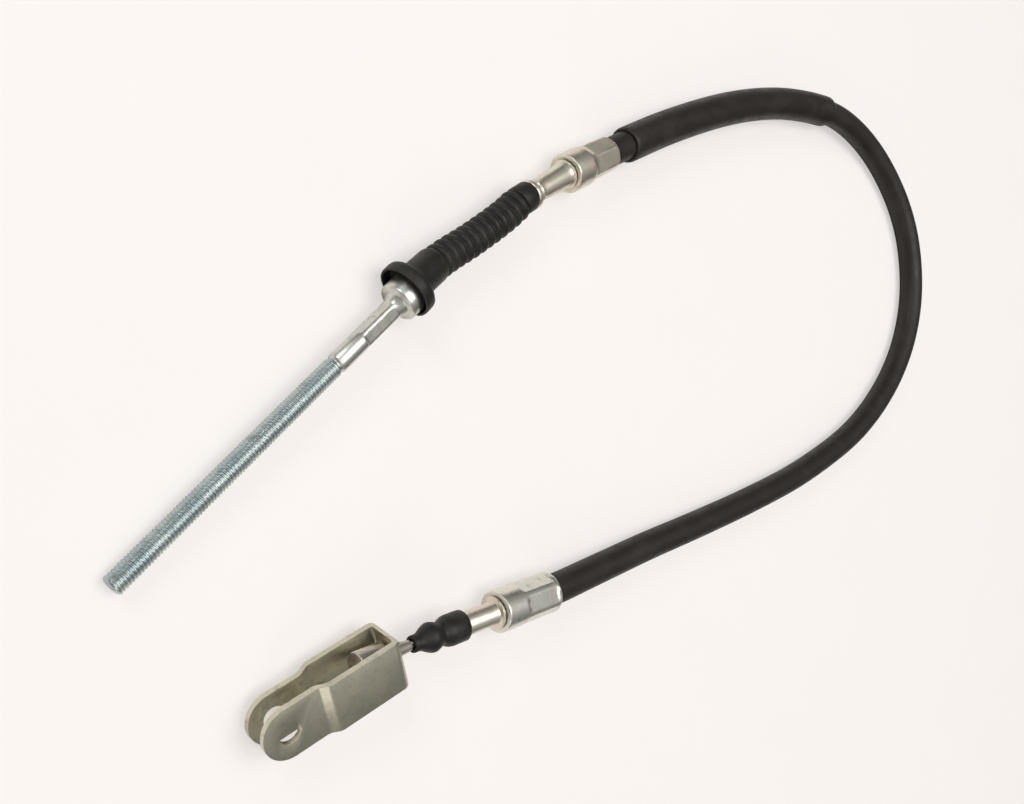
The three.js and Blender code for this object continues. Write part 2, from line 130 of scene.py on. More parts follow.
# %% Sizes that several pieces share
PEDAL_FERRULE = 23.1 * MM
PEDAL_TUBE = 17 * MM
NIPPLE = 4 * MM
NIPPLE_GAP = 0.35 * MM
JACKET_RADIUS = 5 * MM
JACKET_BORE = 4.15 * MM
SLEEVE_BORE = 5.25 * MM
SLEEVE_START = 10 * MM
SLEEVE_LENGTH = 131 * MM
RIB_COUNT = 12
RIB_ROWS = 14
RIB_PITCH = 3.23 * MM
RIBS_START = 5.7 * MM
RIB_VALLEY = 4.2 * MM
BELLOWS_BORE = 3.4 * MM
BELLOWS_SIDES = 56
COLLAR_THICKNESS = 6 * MM
COLLAR_SHOWS = 3.4 * MM
CUP_SHIFT = Vector((-0.75, 0.85, 0.75)) * MM
CUP_FLOOR = 1.6 * MM
SHANK_RADIUS = 3.05 * MM
SHANK_END = 26.2 * MM
THREAD_START = 27.5 * MM
THREAD_RADIUS = 2.95 * MM
ROD_CHAMFER = 0.6 * MM
DUST_BOOT_GRIP = 3.3 * MM
HEAD_CONE_END = 6.8 * MM

# %% [markdown]
# ## Paths
#
# A path knows the place, the direction and two crosswise directions at any distance along it.
# Beyond its ends it goes on straight.


# %% Smooth line through points
def smooth_points(points, steps=24):
    """Points of a smooth line through the given ones, with evenly eased corners."""
    first = points[0] * 2 - points[1]
    last = points[-1] * 2 - points[-2]
    padded = [first, *points, last]
    made = []
    for i in range(1, len(padded) - 2):
        p0, p1, p2, p3 = padded[i - 1 : i + 3]
        d0 = (p1 - p0).length ** 0.5
        d1 = (p2 - p1).length ** 0.5
        d2 = (p3 - p2).length ** 0.5
        t1 = ((p1 - p0) / d0 - (p2 - p0) / (d0 + d1) + (p2 - p1) / d1) * d1
        t2 = ((p2 - p1) / d1 - (p3 - p1) / (d1 + d2) + (p3 - p2) / d2) * d1
        for step in range(steps):
            u = step / steps
            made.append(
                p1 * (2 * u**3 - 3 * u**2 + 1)
                + t1 * (u**3 - 2 * u**2 + u)
                + p2 * (3 * u**2 - 2 * u**3)
                + t2 * (u**3 - u**2)
            )
    return [*made, points[-1]]


# %% Path with crosswise directions
class Path:
    def __init__(self, points):
        self.points = points
        self.lengths = [0.0]
        for a, b in zip(points, points[1:]):
            self.lengths.append(self.lengths[-1] + (b - a).length)
        self.tangents = []
        for i in range(len(points)):
            a, b = points[max(i - 1, 0)], points[min(i + 1, len(points) - 1)]
            self.tangents.append((b - a).normalized())
        turn = Vector((0, 0, 1)).rotation_difference(self.tangents[0])
        side = turn @ Vector((1, 0, 0))
        self.sides = []
        for tangent in self.tangents:
            side = (side - tangent * side.dot(tangent)).normalized()
            self.sides.append(side)

    @property
    def length(self):
        return self.lengths[-1]

    def at(self, distance):
        """Place, direction and the two crosswise directions at a distance."""
        i = 0
        high = len(self.points) - 2
        while i < high:
            middle = (i + high + 1) // 2
            if self.lengths[middle] <= distance:
                i = middle
            else:
                high = middle - 1
        share = (distance - self.lengths[i]) / (self.lengths[i + 1] - self.lengths[i])
        inside = min(max(share, 0.0), 1.0)
        place = self.points[i].lerp(self.points[i + 1], inside)
        tangent = self.tangents[i].lerp(self.tangents[i + 1], inside).normalized()
        place = place + tangent * (share - inside) * (self.lengths[i + 1] - self.lengths[i])
        side = self.sides[i].lerp(self.sides[i + 1], inside)
        side = (side - tangent * side.dot(tangent)).normalized()
        return place, tangent, side, tangent.cross(side)


def straight(start, axis, length=10 * MM):
    return Path([start, start + axis * length])


# %% The core's path and where the ferrules' mouths lie on it
PEDAL_FACE = PEDAL_MOUTH + WIRE_AXIS * PEDAL_FERRULE
core_ends = [DRUM_RING + TUBE_AXIS * NIPPLE, DRUM_FACE, DRUM_MOUTH]
core_tail = [PEDAL_MOUTH, PEDAL_FACE, PEDAL_FACE + WIRE_AXIS * PEDAL_TUBE]
STEPS = 24
core = Path(smooth_points([*core_ends, *[Vector(p) for p in ROUTE], *core_tail], STEPS))
drum_start = core.lengths[2 * STEPS]
pedal_start = core.lengths[(2 + len(ROUTE) + 1) * STEPS]
print("conduit between the ferrules: %.4f m" % (pedal_start - drum_start))

# %% [markdown]
# ## Turned pieces
#
# An outline is a list of (radius, distance) rows. `eased` rounds its corners, `turned` spins it
# around a path. Each point keeps its distance along the path, its angle and its outward
# direction as attributes, which the materials and the Geometry Nodes read.


# %% Outline helpers
def eased(outline, size, closed=False, steps=3):
    """Rounds the corners of an outline by short curves of the given size."""
    count = len(outline)
    made = []
    for i, corner in enumerate(outline):
        if not closed and i in (0, count - 1):
            made.append(corner)
            continue
        here = Vector(corner)
        before = Vector(outline[i - 1])
        after = Vector(outline[(i + 1) % count])
        if here[0] < 1e-9:
            made.append(corner)
            continue
        reach_in = min(size, (before - here).length * 0.45)
        reach_out = min(size, (after - here).length * 0.45)
        a = here + (before - here).normalized() * reach_in
        b = here + (after - here).normalized() * reach_out
        for step in range(steps + 1):
            u = step / steps
            made.append(tuple(a * (1 - u) ** 2 + here * 2 * u * (1 - u) + b * u**2))
    return made


def spread(start, end, count):
    """Rows evenly between two outline points, without the last one."""
    a, b = Vector(start), Vector(end)
    return [tuple(a.lerp(b, i / count)) for i in range(count)]


def in_metres(rows, start=0.0):
    """Outline rows given in millimetres, from a start that is given in metres."""
    return [(radius * MM, start + distance * MM) for radius, distance in rows]


def fine_rows(outline, step=0.6 * MM):
    """A closed outline with rows added to its long stretches, which a press can then shape."""
    rows = []
    for start, end in zip(outline, [*outline[1:], outline[0]]):
        rows += spread(start, end, max(1, int(abs(end[1] - start[1]) / step)))
    return rows


def smooth_step(low, high, value):
    u = min(max((value - low) / (high - low), 0.0), 1.0)
    return u * u * (3 - 2 * u)


def link(name, mesh):
    obj = bpy.data.objects.new(name, mesh)
    bpy.context.scene.collection.objects.link(obj)
    return obj


# %% Turning an outline around a path
def turned(name, outline, path, sides=48, closed=False, shape=None, smooth_angle=35):
    """A closed mesh. An open outline starts and ends on the axis, and a closed one is a ring."""
    mesh = bmesh.new()
    along = mesh.verts.layers.float.new("along")
    around = mesh.verts.layers.float.new("around")
    outward = mesh.verts.layers.float_vector.new("outward")
    rows = []
    for radius, distance in outline:
        place, tangent, side, up = path.at(distance)
        row = []
        count = 1 if radius < 1e-9 else sides
        for i in range(count):
            angle = 2 * math.pi * i / sides
            direction = side * math.cos(angle) + up * math.sin(angle)
            size = shape(radius, distance, angle) if shape and count > 1 else radius
            vertex = mesh.verts.new(place + direction * size)
            vertex[along] = distance
            vertex[around] = angle
            vertex[outward] = direction
            row.append(vertex)
        rows.append(row)
    pairs = list(zip(rows, rows[1:]))
    if closed:
        pairs.append((rows[-1], rows[0]))
    for low, high in pairs:
        for i in range(sides):
            j = (i + 1) % sides
            corners = [low[i % len(low)], low[j % len(low)], high[j % len(high)], high[i % len(high)]]
            face = []
            for corner in corners:
                if corner not in face:
                    face.append(corner)
            if len(face) > 2:
                mesh.faces.new(face)
    bmesh.ops.recalc_face_normals(mesh, faces=mesh.faces)
    return finished(name, mesh, smooth_angle)


def finished(name, mesh, smooth_angle=35):
    """Turns a bmesh into an object whose faces point outward, sharp only at real edges."""
    if mesh.calc_volume(signed=True) < 0:
        bmesh.ops.reverse_faces(mesh, faces=mesh.faces)
    for edge in mesh.edges:
        edge.smooth = edge.calc_face_angle(0.0) < math.radians(smooth_angle)
    for face in mesh.faces:
        face.smooth = True
    data = bpy.data.meshes.new(name)
    mesh.to_mesh(data)
    mesh.free()
    return link(name, data)


# %% [markdown]
# ## Node helpers
#
# One function adds a node and fills its inputs: a value is set, an output is linked.


# %% Adding nodes
def add(tree, kind, inputs=None, **settings):
    node = tree.nodes.new(kind)
    for key, value in settings.items():
        setattr(node, key, value)
    for key, value in (inputs or {}).items():
        socket = node.inputs[key]
        if isinstance(value, bpy.types.NodeSocket):
            tree.links.new(value, socket)
        else:
            socket.default_value = value
    return node


def sums(tree, operation, *values):
    """The output of one Math node."""
    inputs = dict(enumerate(values))
    return add(tree, "ShaderNodeMath", inputs, operation=operation).outputs[0]


# %% Noise, colour ramps and mixing for the materials
def noise(tree, scale, detail=3.0, roughness=0.55, vector=None):
    inputs = {"Scale": scale, "Detail": detail, "Roughness": roughness}
    inputs["Vector"] = vector or add(tree, "ShaderNodeTexCoord").outputs["Object"]
    return add(tree, "ShaderNodeTexNoise", inputs).outputs["Fac"]


def stretched(tree, across, along):
    """Coordinates of a turned piece: around it and along it, for marks that run around."""
    angle = add(tree, "ShaderNodeAttribute", attribute_name="around").outputs["Fac"]
    distance = add(tree, "ShaderNodeAttribute", attribute_name="along").outputs["Fac"]
    east = sums(tree, "MULTIPLY", sums(tree, "COSINE", angle), across)
    north = sums(tree, "MULTIPLY", sums(tree, "SINE", angle), across)
    length = sums(tree, "MULTIPLY", distance, along)
    return add(tree, "ShaderNodeCombineXYZ", {0: east, 1: north, 2: length}).outputs[0]


def between(tree, value, low, high, to_low=0.0, to_high=1.0):
    inputs = {"Value": value, "From Min": low, "From Max": high, "To Min": to_low, "To Max": to_high}
    node = add(tree, "ShaderNodeMapRange", inputs, interpolation_type="SMOOTHSTEP")
    return node.outputs["Result"]


def mixed(tree, factor, a, b, blend_type="MIX"):
    node = add(tree, "ShaderNodeMix", data_type="RGBA", blend_type=blend_type)
    for index, value in ((0, factor), (6, a), (7, b)):
        if isinstance(value, bpy.types.NodeSocket):
            tree.links.new(value, node.inputs[index])
        else:
            node.inputs[index].default_value = value
    return node.outputs[2]


def material(name):
    made = bpy.data.materials.new(name)
    made.use_nodes = True
    made.node_tree.nodes.clear()
    return made, made.node_tree


def surface(tree, colour, metallic, roughness, height, bump, shine=0.5):
    """Ends a material: a principled surface with a bump from a height."""
    normal = add(tree, "ShaderNodeBump", {"Height": height, "Strength": bump, "Distance": 0.0002})
    inputs = {"Base Color": colour, "Metallic": metallic, "Roughness": roughness}
    inputs["Normal"] = normal.outputs["Normal"]
    inputs["Specular IOR Level"] = shine
    shader = add(tree, "ShaderNodeBsdfPrincipled", inputs)
    output = add(tree, "ShaderNodeOutputMaterial", {"Surface": shader.outputs["BSDF"]})
    return shader, output


# %% [markdown]
# ## Materials
#
# Plated metal has slow patches of two tints, fine turning marks and a few dull stains. Black
# rubber and plastic have a fine grain, a dusty bloom and scuffs.


# %% Plated metal
def plated(name, first, second, stain, rough=0.3, marks=0.03, turned_marks=True):
    made, tree = material(name)
    patches = between(tree, noise(tree, 160.0, 4.0), 0.35, 0.65)
    colour = mixed(tree, patches, first, second)
    dull = between(tree, noise(tree, 420.0, 5.0), 0.52, 0.72, 0.0, 0.75)
    colour = mixed(tree, dull, colour, stain)
    if turned_marks:
        lines = noise(tree, 1.0, 2.0, 0.6, stretched(tree, 1.2, 6500.0))
    else:
        lines = noise(tree, 2600.0, 4.0)
    fine = noise(tree, 5200.0, 2.0)
    roughness = sums(tree, "ADD", between(tree, lines, 0.3, 0.7, rough - 0.06, rough + 0.08),
                     sums(tree, "MULTIPLY", dull, 0.14))
    height = sums(tree, "ADD", lines, sums(tree, "MULTIPLY", fine, 0.5))
    surface(tree, colour, 1.0, roughness, height, marks)
    return made


# %% Black rubber and plastic
def black(name, dark, bloom, rough, grain, dusty, shine=0.35):
    made, tree = material(name)
    patches = between(tree, noise(tree, 120.0, 5.0, 0.65), 0.42, 0.74, 0.0, dusty)
    specks = between(tree, noise(tree, 1900.0, 3.0, 0.7), 0.6, 0.78, 0.0, dusty)
    colour = mixed(tree, patches, dark, bloom)
    colour = mixed(tree, specks, colour, bloom)
    fine = noise(tree, 3200.0, 3.0)
    slow = noise(tree, 240.0, 3.0)
    roughness = between(tree, slow, 0.3, 0.7, rough - 0.07, rough + 0.07)
    height = sums(tree, "ADD", fine, sums(tree, "MULTIPLY", slow, 1.4))
    surface(tree, colour, 0.0, roughness, height, grain, shine)
    return made


# %% The materials of the cable
jacket_material = black("jacket", (0.016, 0.012, 0.009, 1), (0.05, 0.043, 0.036, 1), 0.5, 0.1, 0.3)
sleeve_material = black("sleeve", (0.014, 0.011, 0.009, 1), (0.05, 0.044, 0.038, 1), 0.48, 0.14, 0.35)
rubber_material = black("rubber", (0.012, 0.01, 0.008, 1), (0.055, 0.052, 0.044, 1), 0.5, 0.16, 0.35)
yellow_zinc = plated("zinc_yellow", (0.76, 0.75, 0.62, 1), (0.78, 0.68, 0.6, 1), (0.56, 0.52, 0.42, 1), 0.34)
blue_zinc = plated("zinc_blue", (0.42, 0.5, 0.52, 1), (0.5, 0.57, 0.56, 1), (0.3, 0.33, 0.32, 1), 0.34)
shank_zinc = plated("zinc_shank", (0.6, 0.61, 0.57, 1), (0.67, 0.66, 0.6, 1), (0.46, 0.44, 0.39, 1), 0.34)
bright_zinc = plated("zinc_bright", (0.78, 0.79, 0.74, 1), (0.8, 0.77, 0.69, 1), (0.6, 0.58, 0.5, 1), 0.32)
fork_zinc = plated(
    "fork_steel", (0.58, 0.56, 0.46, 1), (0.66, 0.63, 0.5, 1), (0.42, 0.4, 0.31, 1), 0.34, 0.1, False
)
head_zinc = plated("zinc_head", (0.5, 0.46, 0.4, 1), (0.58, 0.54, 0.48, 1), (0.36, 0.32, 0.27, 1), 0.4)
wire_steel = plated("wire_steel", (0.48, 0.47, 0.43, 1), (0.4, 0.39, 0.36, 1), (0.24, 0.22, 0.2, 1), 0.35)
liner_plastic = black("liner", (0.66, 0.62, 0.5, 1), (0.5, 0.46, 0.36, 1), 0.5, 0.05, 0.3)
print("materials:", len(bpy.data.materials))


# %% [markdown]
# ## Dressing
#
# `dress` gives a finished piece its material and slot, puts it on its body and lets it stand
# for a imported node.


# %% Dress a piece
def dress(obj, surface_material, body=None, node=None):
    obj.data.materials.clear()
    obj.data.materials.append(surface_material)
    if node:
        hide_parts(node)
    if body:
        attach(obj, body)
    print("%-20s %7d faces" % (obj.name, len(obj.data.polygons)))
    return obj


def with_nodes(obj, tree, **values):
    """Runs a Geometry Nodes tree on an object once and keeps the result as its plain mesh."""
    modifier = obj.modifiers.new(tree.name, "NODES")
    modifier.node_group = tree
    for item in tree.interface.items_tree:
        if item.in_out == "INPUT" and item.name in values:
            modifier[item.identifier] = values[item.name]
    bpy.context.view_layer.update()
    evaluated = obj.evaluated_get(bpy.context.evaluated_depsgraph_get())
    data = bpy.data.meshes.new_from_object(evaluated)
    obj.modifiers.clear()
    obj.data = data
    return obj


def new_tree(name, floats, materials=()):
    """A Geometry Nodes tree with named number inputs. Returns it, its input and its output."""
    tree = bpy.data.node_groups.new(name, "GeometryNodeTree")
    tree.interface.new_socket("Geometry", in_out="INPUT", socket_type="NodeSocketGeometry")
    for label, value in floats.items():
        socket = tree.interface.new_socket(label, in_out="INPUT", socket_type="NodeSocketFloat")
        socket.default_value = value
    for label in materials:
        tree.interface.new_socket(label, in_out="INPUT", socket_type="NodeSocketMaterial")
    tree.interface.new_socket("Geometry", in_out="OUTPUT", socket_type="NodeSocketGeometry")
    return tree, tree.nodes.new("NodeGroupInput"), tree.nodes.new("NodeGroupOutput")


def close_tree(tree, start, end, geometry):
    """Ends a tree the same way each time: real geometry with its material set."""
    real = add(tree, "GeometryNodeRealizeInstances", {"Geometry": geometry})
    inputs = {"Geometry": real.outputs[0], "Material": start.outputs["Material"]}
    painted = add(tree, "GeometryNodeSetMaterial", inputs)
    tree.links.new(painted.outputs[0], end.inputs["Geometry"])
    return tree


# %% [markdown]
# ## Conduit
#
# The jacket is a tube along the route. It runs a little into both ferrules' mouths. The sleeve
# lies over it near the drum end, its ends shrunk round, and it is never quite even.

# %% Conduit jacket
MOUTH_DEPTH = 1.2 * MM
JACKET_ROWS = 300
jacket_from = drum_start - MOUTH_DEPTH
jacket_to = pedal_start + MOUTH_DEPTH
jacket_length = jacket_to - jacket_from
outside = [(JACKET_RADIUS, jacket_from + jacket_length * i / JACKET_ROWS) for i in range(JACKET_ROWS + 1)]
inside = [(JACKET_BORE, distance) for _, distance in reversed(outside)]
jacket = turned("conduit", [*outside, *inside], core, 32, closed=True)
dress(jacket, jacket_material, "casing", "conduit_jacket")


# %% Sleeve
def sleeve_waves(radius, distance, angle):
    """A shrunk sleeve's slight unevenness."""
    slow = math.sin(distance * 150 + 2 * math.sin(angle)) + math.sin(distance * 61 + 3 * angle)
    return radius + 0.045 * MM * slow


sleeve_from = drum_start + SLEEVE_START
sleeve_to = sleeve_from + SLEEVE_LENGTH
sleeve_end = [(5.3, 0.0), (5.75, 0.05), (6.05, 0.4), (6.22, 1.1)]
outside = in_metres(sleeve_end, sleeve_from)
outside += spread((6.25 * MM, sleeve_from + 2 * MM), (6.25 * MM, sleeve_to - 2 * MM), 110)
outside += in_metres([(radius, -distance) for radius, distance in reversed(sleeve_end)], sleeve_to)
inside = [(SLEEVE_BORE, distance) for _, distance in reversed(outside[1:-1])]
sleeve = turned("sleeve", [*outside, *inside], core, 40, closed=True, shape=sleeve_waves)
dress(sleeve, sleeve_material, "casing", "protective_sleeve")


# %% [markdown]
# ## Ferrules
#
# Each ferrule is turned first. A press then squeezes flats into it, so a flat only takes away
# what stands outside it, and it runs out softly at its ends.


# %% Pressed flats
def pressed(sides, across_flats, start, end, turn, runout, ripple=0.0):
    """A shape function: flats of that width across, between two distances."""

    def shape(radius, distance, angle):
        step = 2 * math.pi / sides
        off = (angle - turn + step / 2) % step - step / 2
        flat = across_flats / 2 / math.cos(off)
        marks = ripple * math.cos((distance - start) * 3 * 2 * math.pi / (end - start))
        into = smooth_step(start - runout, start, distance) if runout else float(distance >= start)
        out = 1 - smooth_step(end, end + runout, distance)
        depth = max(radius - flat - marks, 0.0) if radius > across_flats * 0.4 else 0.0
        return radius - depth * into * out

    return shape


# %% Drum ferrule
face = (DRUM_FACE - DRUM_MOUTH).length / MM
outline = [
    (5.12, 1.6), (5.12, 0), (5.8, 0), (6.1, 0.8), (6.3, 8), (6.6, 14.5),
    (6.6, face), (4.65, face), (4.65, face - 6.35), (3.1, face - 6.35),
    (3.1, 13.3), (4.15, 13.3), (4.15, 1.6),
]
rows = fine_rows(eased(in_metres(outline), 0.45 * MM, closed=True))
ferrule = turned("drum_ferrule_body", rows, straight(DRUM_MOUTH, DRUM_AXIS), 96, closed=True,
                 shape=pressed(6, 11 * MM, -1 * MM, 11.5 * MM, 0.18, 3 * MM))
dress(ferrule, yellow_zinc, "casing", "drum_ferrule")

# %% Pedal ferrule
face = PEDAL_FERRULE / MM
outline = [
    (5.12, 1.6), (5.12, 0), (6.35, 0), (6.6, 0.9), (6.6, face), (4.65, face),
    (4.65, face - 6.35), (3.1, face - 6.35), (3.1, 13.3), (4.15, 13.3), (4.15, 1.6),
]
rows = fine_rows(eased(in_metres(outline), 0.4 * MM, closed=True))
ferrule = turned("pedal_ferrule_body", rows, straight(PEDAL_MOUTH, WIRE_AXIS), 96, closed=True,
                 shape=pressed(6, 12.1 * MM, 1.6 * MM, 14.2 * MM, 0.17, 0.7 * MM))
dress(ferrule, bright_zinc, "casing", "pedal_ferrule")

# %% [markdown]
# ## Guide tubes
#
# Both tubes stand in their ferrules behind a rolled rim of two fine ridges. The drum tube
# tapers down to a bead and a ring, where the bellows is pushed on.

# %% The rim that both tubes have
rim = [
    (2.55, -6), (4.3, -6), (4.3, 0.2), (4.95, 0.38), (5, 0.5), (4.95, 0.62), (4.62, 0.7),
    (4.8, 0.78), (4.84, 0.9), (4.8, 1.02), (4.5, 1.12),
]


def guide_tube(name, outline, start, axis, node):
    rows = eased(in_metres([*rim, *outline]), 0.12 * MM, closed=True, steps=2)
    tube = turned(name, rows, straight(start, axis), 64, closed=True)
    dress(tube, yellow_zinc, "casing", node)


# %% Drum guide tube
ring = (DRUM_RING - DRUM_FACE).length / MM
nipple_end = ring + NIPPLE / MM
outline = [
    (4.3, 3), (3.8, ring - 7.5), (3.62, ring - 5.2), (3.6, ring - 3.9), (3.88, ring - 3.7),
    (3.88, ring - 3.4), (3.7, ring - 3.2), (3.88, ring - 3), (3.88, ring - 2.75),
    (3.6, ring - 2.6), (3.6, ring - 1.8), (4.75, ring - 1.7), (4.9, ring - 1.4),
    (4.9, ring - 0.3), (4.7, ring), (3.1, ring), (3.1, nipple_end), (2.55, nipple_end),
]
guide_tube("drum_tube", outline, DRUM_FACE, TUBE_AXIS, "drum_guide_tube")

# %% Pedal guide tube
tube_end = PEDAL_TUBE / MM
outline = [(3.6, 1.3), (3.6, tube_end), (2.55, tube_end)]
guide_tube("pedal_tube", outline, PEDAL_FACE, WIRE_AXIS, "pedal_guide_tube")

# %% [markdown]
# ## Bellows
#
# The boot follows its own bent path from the guide tube to the rod's collar. Its smooth body
# is turned first, and Geometry Nodes raises the ribs on it.

# %% The boot's path
grip = DRUM_RING + TUBE_AXIS * (NIPPLE + NIPPLE_GAP)
lip = COLLAR_FACE - ROD_AXIS * COLLAR_SHOWS + CUP_SHIFT
neck = lip - ROD_AXIS * 8 * MM
bends = [Vector(point) for point in BELLOWS_BENDS]
boot_path = Path(smooth_points([DRUM_RING, grip, *bends, neck, lip], 16))
boot_length = boot_path.length

# %% The tree that raises ribs
rib_inputs = {"First Rib": RIBS_START, "Pitch": RIB_PITCH, "Count": float(RIB_COUNT), "Height": 1.1 * MM}
tree, start, end = new_tree("ribs", rib_inputs, ["Material"])
along = add(tree, "GeometryNodeInputNamedAttribute", {"Name": "along"}).outputs[0]
outward = add(tree, "GeometryNodeInputNamedAttribute", {"Name": "outward"}, data_type="FLOAT_VECTOR")
raised = add(tree, "GeometryNodeInputNamedAttribute", {"Name": "raised"}).outputs[0]
past_first = sums(tree, "SUBTRACT", along, start.outputs["First Rib"])
turns = sums(tree, "DIVIDE", past_first, start.outputs["Pitch"])
wave = sums(tree, "ABSOLUTE", sums(tree, "SINE", sums(tree, "MULTIPLY", turns, math.pi)))
crest = sums(tree, "POWER", wave, 0.8)
begun = sums(tree, "GREATER_THAN", turns, 0.0)
ended = sums(tree, "LESS_THAN", turns, start.outputs["Count"])
size = sums(tree, "MULTIPLY", crest, sums(tree, "MULTIPLY", begun, ended))
size = sums(tree, "MULTIPLY", sums(tree, "MULTIPLY", size, raised), start.outputs["Height"])
offset = add(tree, "ShaderNodeVectorMath", {0: outward.outputs[0], "Scale": size}, operation="SCALE")
inputs = {"Geometry": start.outputs["Geometry"], "Offset": offset.outputs[0]}
moved = add(tree, "GeometryNodeSetPosition", inputs)
rib_tree = close_tree(tree, start, end, moved.outputs[0])

# %% The boot's smooth body
ribs_end = RIBS_START + RIB_COUNT * RIB_PITCH
seat = boot_length - (COLLAR_THICKNESS + NIPPLE_GAP - COLLAR_SHOWS)
cup_start = seat - CUP_FLOOR
tube_side = [(3.45, 0.35), (4.75, 0.35), (4.9, 0.6), (4.9, 4.9), (4.6, 5.5)]
rib_rows = RIB_COUNT * RIB_ROWS
outside = in_metres(tube_side)
outside += spread((RIB_VALLEY, RIBS_START), (RIB_VALLEY, ribs_end), rib_rows)
outside += in_metres([(4.2, 0), (4.9, 0.25), (5.3, 0.8), (5.5, 1.8)], ribs_end)
outside += in_metres(
    [(5.55, -1.2), (5.9, -0.45), (6.9, 0), (7.8, 0.35), (8.4, 0.95), (8.6, 1.9)], cup_start
)
outside += in_metres([(8.6, -0.5), (8.5, -0.1), (8.25, 0), (7.9, -0.1), (7.8, -0.4)], boot_length)
outside += in_metres([(7.8, 0.3), (7.5, 0), (4.6, 0)], seat)
inside = in_metres([(4.6, 0), (3.4, -0.5)], ribs_end)
inside += spread((BELLOWS_BORE, ribs_end - 2 * MM), (BELLOWS_BORE, RIBS_START), 24)
inside += in_metres([(3.45, -0.3)], RIBS_START)
boot = turned("bellows", [*outside, *inside], boot_path, BELLOWS_SIDES, closed=True)

# %% Ribs, and the boot's mesh baked where it lies
raised = boot.data.attributes.new("raised", "FLOAT", "POINT")
first_rib_row = len(tube_side)
ribbed = range(first_rib_row * BELLOWS_SIDES, (first_rib_row + rib_rows + 1) * BELLOWS_SIDES)
raised.data.foreach_set("value", [float(i in ribbed) for i in range(len(boot.data.vertices))])
with_nodes(boot, rib_tree, **{"First Rib": RIBS_START, "Material": rubber_material})
dress(boot, rubber_material, None, "bellows_boot")
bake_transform(boot)

# %% [markdown]
# ## Threaded rod
#
# Collar, cone, pressed shank and threaded length are one turned piece. The thread is raised by
# Geometry Nodes from the distance along the rod and the angle around it.

# %% The tree that cuts a thread
tree, start, end = new_tree(
    "thread", {"First Turn": 0.03, "Last Turn": 0.1, "Pitch": 0.001, "Depth": 0.0003}, ["Material"]
)
along = add(tree, "GeometryNodeInputNamedAttribute", {"Name": "along"}).outputs[0]
around = add(tree, "GeometryNodeInputNamedAttribute", {"Name": "around"}).outputs[0]
outward = add(tree, "GeometryNodeInputNamedAttribute", {"Name": "outward"}, data_type="FLOAT_VECTOR")
turns = sums(tree, "DIVIDE", along, start.outputs["Pitch"])
phase = sums(tree, "FRACT", sums(tree, "SUBTRACT", turns, sums(tree, "DIVIDE", around, 2 * math.pi)))
ramp = sums(tree, "ABSOLUTE", sums(tree, "SUBTRACT", sums(tree, "MULTIPLY", phase, 2.0), 1.0))
groove = between(tree, ramp, 0.12, 0.9)
fade_in = between(tree, sums(tree, "SUBTRACT", along, start.outputs["First Turn"]), 0.0, 0.0008)
fade_out = between(tree, sums(tree, "SUBTRACT", start.outputs["Last Turn"], along), 0.0, 0.0006)
depth = sums(tree, "MULTIPLY", groove, sums(tree, "MULTIPLY", fade_in, fade_out))
depth = sums(tree, "MULTIPLY", sums(tree, "MULTIPLY", depth, start.outputs["Depth"]), -1.0)
offset = add(tree, "ShaderNodeVectorMath", {0: outward.outputs[0], "Scale": depth}, operation="SCALE")
inputs = {"Geometry": start.outputs["Geometry"], "Offset": offset.outputs[0]}
moved = add(tree, "GeometryNodeSetPosition", inputs)
thread_tree = close_tree(tree, start, end, moved.outputs[0])

# %% The rod
rod_length = (ROD_TIP - COLLAR_FACE).length
last_turn = rod_length - ROD_CHAMFER
outline = in_metres([
    (0, 11.8), (1.55, 11.8), (1.55, -10), (2.8, -10), (2.8, -6), (6.1, -6), (6.1, -0.7),
    (6, -0.35), (5.7, -0.05), (4.3, 0.1), (4, 0.4), (3.4, 1.6), (3.05, 2.4),
])
outline += spread((SHANK_RADIUS, 2.6 * MM), (SHANK_RADIUS, 17.4 * MM), 50)
outline += in_metres([
    (3.05, 17.5), (3.05, 25.7), (2.9, 26), (2.55, 26.3), (2.55, 27.1), (2.9, 27.4),
])
thread_rows = int((last_turn - THREAD_START) / MM * 9)
outline += spread((THREAD_RADIUS, THREAD_START), (THREAD_RADIUS, last_turn), thread_rows)
outline += in_metres([(2.92, -0.5), (2.45, -0.08), (2.35, 0), (0, 0)], rod_length)
crimp = pressed(4, 4.9 * MM, 3.4 * MM, 15 * MM, 0.49, 1.2 * MM, 0.03 * MM)
rod = turned("rod", outline, straight(COLLAR_FACE, ROD_AXIS), 40, smooth_angle=50, shape=crimp)
with_nodes(rod, thread_tree, **{"First Turn": THREAD_START, "Last Turn": last_turn, "Material": blue_zinc})
dress(rod, blue_zinc, "rod_end", "threaded_rod")

# %% The shank and the collar are brighter than the thread
rod.data.materials.append(shank_zinc)
bright_end = COLLAR_FACE + ROD_AXIS * SHANK_END
for polygon in rod.data.polygons:
    polygon.material_index = int((polygon.center - bright_end).dot(ROD_AXIS) < 0)

# %% [markdown]
# ## Pedal end: dust boot, wire and head
#
# The dust boot's outline goes end, waist, bulb, lip. The wire is six strands laid round a core
# strand, and each strand is a helix from Geometry Nodes.

